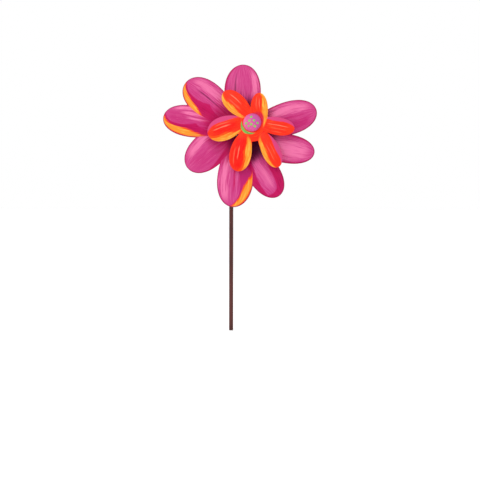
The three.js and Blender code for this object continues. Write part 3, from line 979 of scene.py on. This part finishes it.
def buttonPaint(radius):
    material, wire = startFinish("buttonPaint")
    place = placeInMm(wire)
    x, y, z = alongAxes(place, headAxes)
    cloud = wire.noise(place, 0.22, 4.0, 0.6)
    strokes = wire.noise(wire.vector(x * 0.35, y * 1.1, z * 0.3), 0.9, 3.0, 0.6)
    color = wire.paint(button["pink"], button["lilac"], (x + y * 0.4 + (cloud - 0.5) * 12).rise(-3, 7))
    # a painted highlight: the dome is paler on its left side, where the light falls
    color = wire.paint(color, button["light"], (x + (strokes - 0.5) * 8).rise(-4, -9) * 0.9)
    color = wire.paint(color, button["shade"], strokes.rise(0.46, 0.34) * 0.35)
    dots = None
    soft = 0.25  # half of a dot's soft edge
    for dotX, dotY, size in button["dots"]:
        fromX, fromY = x - dotX * radius, y - dotY * radius
        away = (fromX * fromX + fromY * fromY).root() + (cloud - 0.5) * 0.8
        dot = away.rise(size * radius + soft, size * radius - soft)
        dots = dot if dots is None else dots.atLeast(dot)
    dots = dots * z.rise(0.2, 0.8)  # none on the underside
    color = wire.paint(color, wire.paint(leafGreen, button["dotLight"], strokes.rise(0.45, 0.6)), dots)
    grain = wire.noise(place, 2.2, 3.0)
    relief = dots * 0.6 + strokes * 0.2 + grain * 0.1
    endFinish(wire, color, 0.34 + cloud * 0.18, relief, bump=0.5, bumpDistance=0.25 * mm, specular=0.22)
    return material


def addButton():
    outer, low, high = buttonSpan.outer, buttonSpan.low, buttonSpan.high
    height = high - low
    wall = button["wall"]
    inside = outer - wall
    boss, foot = button["bossRadius"], button["bossFoot"]
    turns = np.radians(np.linspace(4, 86, 24))
    corners = [(inside, 0), (outer, 0)]
    corners += [(outer * cos(turn), height * sin(turn)) for turn in turns] + [(0, height)]
    corners += [(0, button["socketRoof"]), (button["socketRadius"], button["socketRoof"])]
    corners += [(button["socketRadius"], foot), (boss, foot)]
    for radius in button["undersideRadii"]:
        corners.append((radius, (height - wall) * sqrt(1 - (radius / inside) ** 2)))
    corners = [(radius, level + low) for radius, level in corners]
    headPiece("button", corners, buttonPaint(outer), postX, postY, rounding=0.18)


addBearing()
addRivets()
addPost()
addButton()
print("bearing, post and button made")

stake = {  # mm
    "barRadius": 2.38,
    "knee": Vector((0, 0, 176)),  # where the bar starts to lean aside
    "kneeBend": 24,
    "elbowBend": 9,  # at the top, where the bar turns forward into the spindle
    "bendSteps": 28,
    "segments": 56,
    "cutRounding": 0.35,
    "brown": tint(88, 39, 34),
    "darkBrown": tint(62, 27, 24),
    "worn": tint(128, 74, 64),
    "wornUpTo": 60,  # from the lower end
}


def stakePaint():
    material, wire = startFinish("stakePowderCoat")
    place = placeInMm(wire)
    x, y, z = alongAxes(place, Matrix.Identity(3))
    cloud = wire.noise(wire.vector(x, y, z * 0.25), 0.12, 4.0, 0.6)
    speck = wire.noise(place, 2.6, 4.0, 0.7)
    peel = wire.noise(place, 1.1, 2.0)
    scuffs = wire.noise(wire.vector(x * 0.8, y * 0.8, z * 0.1), 1.3, 4.0, 0.7)
    color = wire.paint(stake["brown"], stake["darkBrown"], cloud.rise(0.42, 0.66) * 0.7)
    color = wire.paint(color, stake["worn"], speck.rise(0.6, 0.74) * 0.45)
    color = wire.paint(color, stake["worn"], scuffs.rise(0.58, 0.66) * z.rise(stake["wornUpTo"], 0) * 0.5)
    roughness = 0.42 + cloud * 0.16 + speck * 0.08
    height = peel * 0.6 + speck * 0.4
    endFinish(wire, color, roughness, height, bump=0.4, bumpDistance=0.12 * mm, specular=0.3)
    return material


def bentLine(corners, bends):  # stations along straight runs joined by round bends
    stations = [(corners[0], (corners[1] - corners[0]).normalized())]
    for i, bend in enumerate(bends):
        corner = corners[i + 1]
        into, away = (corner - corners[i]).normalized(), (corners[i + 2] - corner).normalized()
        turn = into.angle(away)
        start = corner - into * bend * tan(turn / 2)
        inward = (away - into * into.dot(away)).normalized()
        for step in range(stake["bendSteps"] + 1):
            angle = turn * step / stake["bendSteps"]
            point = start + inward * bend * (1 - cos(angle)) + into * bend * sin(angle)
            stations.append((point, into * cos(angle) + inward * sin(angle)))
    stations.append((corners[-1], (corners[-1] - corners[-2]).normalized()))
    return stations


def cutEnd(end, inward):  # rings from the middle of a cut end out over its softened edge, as place and radius
    radius, rounding = stake["barRadius"], stake["cutRounding"]
    return [(end, 0), (end, radius - rounding), (end + inward * 0.3 * rounding, radius - 0.3 * rounding),
            (end + inward * rounding, radius)]


def addStake():
    hub = hubCentre / mm
    elbow = hub - forward * (hub.y / forward.y)
    tip = hub + forward * spanOnHead("stake_rod").high
    line = bentLine([Vector((0, 0, 0)), stake["knee"], elbow, tip], [stake["kneeBend"], stake["elbowBend"]])
    (foot, footWay), (top, topWay) = line[0], line[-1]
    rings = [(point, footWay, radius) for point, radius in cutEnd(foot, footWay)]
    rings += [(point, way, stake["barRadius"]) for point, way in line[1:-1]]
    rings += [(point, topWay, radius) for point, radius in cutEnd(top, -topWay)[::-1]]
    segments = stake["segments"]
    across = sideways
    vertices = []
    for point, way, radius in rings:
        across = (across - way * across.dot(way)).normalized()
        other = way.cross(across)
        for i in range(segments):
            angle = 2 * pi * i / segments
            vertices.append((point + (across * cos(angle) + other * sin(angle)) * radius) * mm)
    faces = closedGrid(len(rings), segments)[:(len(rings) - 1) * segments]
    piece = cleaned(meshPiece("bentStake", vertices, faces, [stakePaint()]))
    finishPiece(piece, "stake", "stake_rod")


addStake()
print("stake bent and coated")

view = {
    "azimuth": 13,  # degrees round from straight in front
    "elevation": 1.4,
    "roll": 0.08,
    "lens": 250,  # mm
    "sensor": 36,
    "aimAside": 0.0004,  # metres right of the head's centre
    "aimHeight": 0.1046,  # above the floor
    "frameWidth": 0.5484,  # metres seen across the frame at the hub
    "farthest": 100,
}


def addCamera():
    data = bpy.data.cameras.new("camera")
    data.lens = view["lens"]
    data.sensor_width = view["sensor"]
    data.clip_end = view["farthest"]
    distance = view["frameWidth"] * view["lens"] / view["sensor"]
    turn, lift = radians(view["azimuth"]), radians(view["elevation"])
    back = Vector((sin(turn) * cos(lift), -cos(turn) * cos(lift), sin(lift)))
    right = Vector((cos(turn), sin(turn), 0))
    target = Vector((hubCentre.x, hubCentre.y, view["aimHeight"])) + right * view["aimAside"]
    camera = bpy.data.objects.new("camera", data)
    camera.location = target + back * distance
    rolled = (-back).to_track_quat("-Z", "Y") @ Quaternion((0, 0, 1), radians(view["roll"]))
    camera.rotation_euler = rolled.to_euler()
    scene.collection.objects.link(camera)
    scene.camera = camera


floor = {
    "radius": 9.0,
    "height": -0.0004,  # just under the stake's end
    "sides": 64,
    "pale": (0.97, 0.97, 0.97, 1),
    "cloud": (0.95, 0.95, 0.95, 1),
}


def addFloor():
    material, wire = startFinish("paleFloor")
    cloud = wire.noise(placeInMm(wire), 0.004, 3.0)
    endFinish(wire, wire.paint(floor["pale"], floor["cloud"], cloud), 0.8)
    radius, sides = floor["radius"], floor["sides"]
    angles = [2 * pi * i / sides for i in range(sides)]
    corners = [(radius * cos(angle), radius * sin(angle), floor["height"]) for angle in angles]
    meshPiece("floor", corners, [tuple(range(sides))], [material])


# place and size in metres, power in watts; the sun's spread and tilt are in degrees
lights = {
    "key": {"place": (-1.0, -1.6, 1.5), "size": 0.9, "power": 7},
    "fill": {"place": (1.5, -1.3, 0.7), "size": 1.2, "power": 3},
    "back": {"place": (0.4, 1.7, 1.2), "size": 1.2, "power": 5},
}
sky = {"color": (1, 1, 1, 1), "strength": 1.0}
sun = {"strength": 0.36, "spread": 40, "tilt": (24, -18, 0)}


def addLights():
    for name, look in lights.items():
        data = bpy.data.lights.new(name, "AREA")
        data.size = look["size"]
        data.energy = look["power"]
        light = bpy.data.objects.new(name, data)
        light.location = look["place"]
        light.rotation_euler = (hubCentre - light.location).to_track_quat("-Z", "Y").to_euler()
        scene.collection.objects.link(light)


def addSky():
    world = bpy.data.worlds.new("studio")
    world.use_nodes = True
    wire = Wire(world.node_tree)
    world.node_tree.nodes.clear()
    background = wire.node("Background", None, {"Color": sky["color"], "Strength": sky["strength"]})
    wire.node("OutputWorld", None, {"Surface": background})
    scene.world = world


def addSun():  # an even light from above that keeps the whole floor white
    data = bpy.data.lights.new("overhead", "SUN")
    data.energy = sun["strength"]
    data.angle = radians(sun["spread"])
    light = bpy.data.objects.new("overhead", data)
    light.rotation_euler = [radians(turn) for turn in sun["tilt"]]
    scene.collection.objects.link(light)


addCamera()
addFloor()
addSky()
addSun()
addLights()
scene.view_settings.view_transform = "Standard"
print("camera, floor and light placed")
